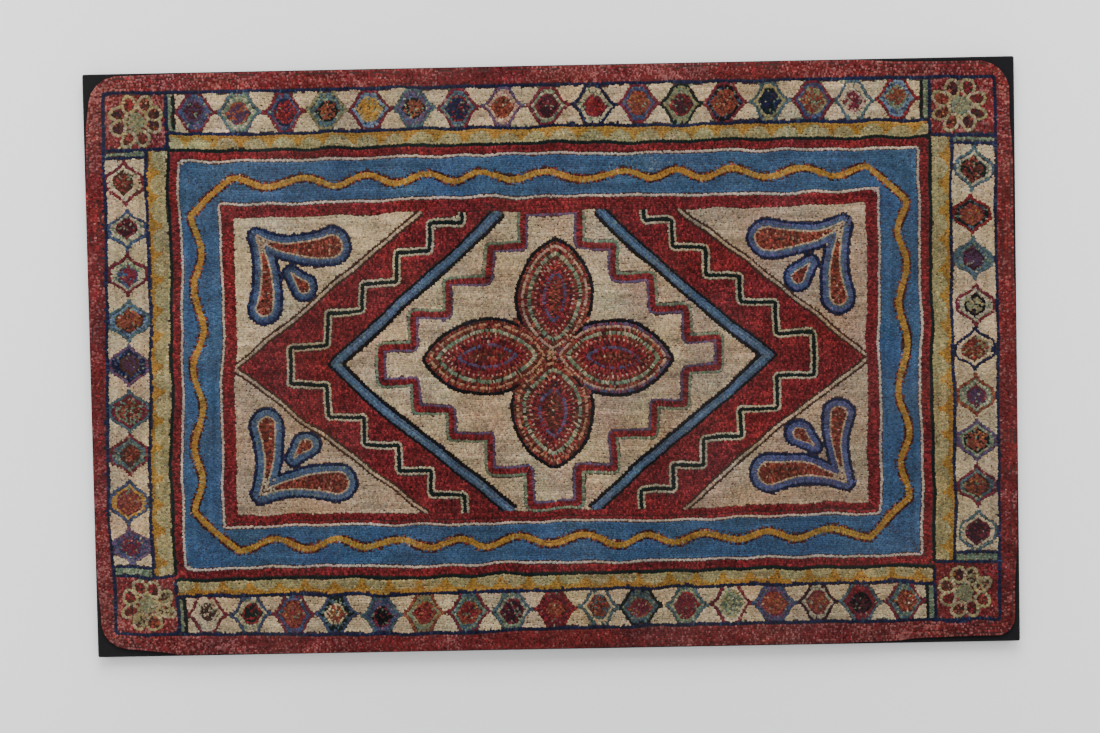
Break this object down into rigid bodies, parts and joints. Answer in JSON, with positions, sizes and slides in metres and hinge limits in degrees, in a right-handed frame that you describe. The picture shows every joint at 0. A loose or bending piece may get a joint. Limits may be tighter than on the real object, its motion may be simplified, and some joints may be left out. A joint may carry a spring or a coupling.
{
  "type": "hooked rug on cloth-covered mount panel",
  "caption": "Oblong hooked wool rug with a stepped diamond field and lozenge borders, sewn face up to a shallow mount panel wrapped in black cloth.",
  "frame": {"origin": "middle of the mount panel's back face", "axes": "+X along the rug's length, +Y towards the long edge that is uppermost when it hangs, +Z out of the pile"},
  "size_m": [1.45, 0.914, 0.0331],
  "materials": {
    "hooked_wool": "matte wool pile",
    "black_cloth": "matte woven cloth"
  },
  "bodies": {
    "root": {"rug": "hooked_wool", "mount_panel": "black_cloth"}
  },
  "joints": []
}
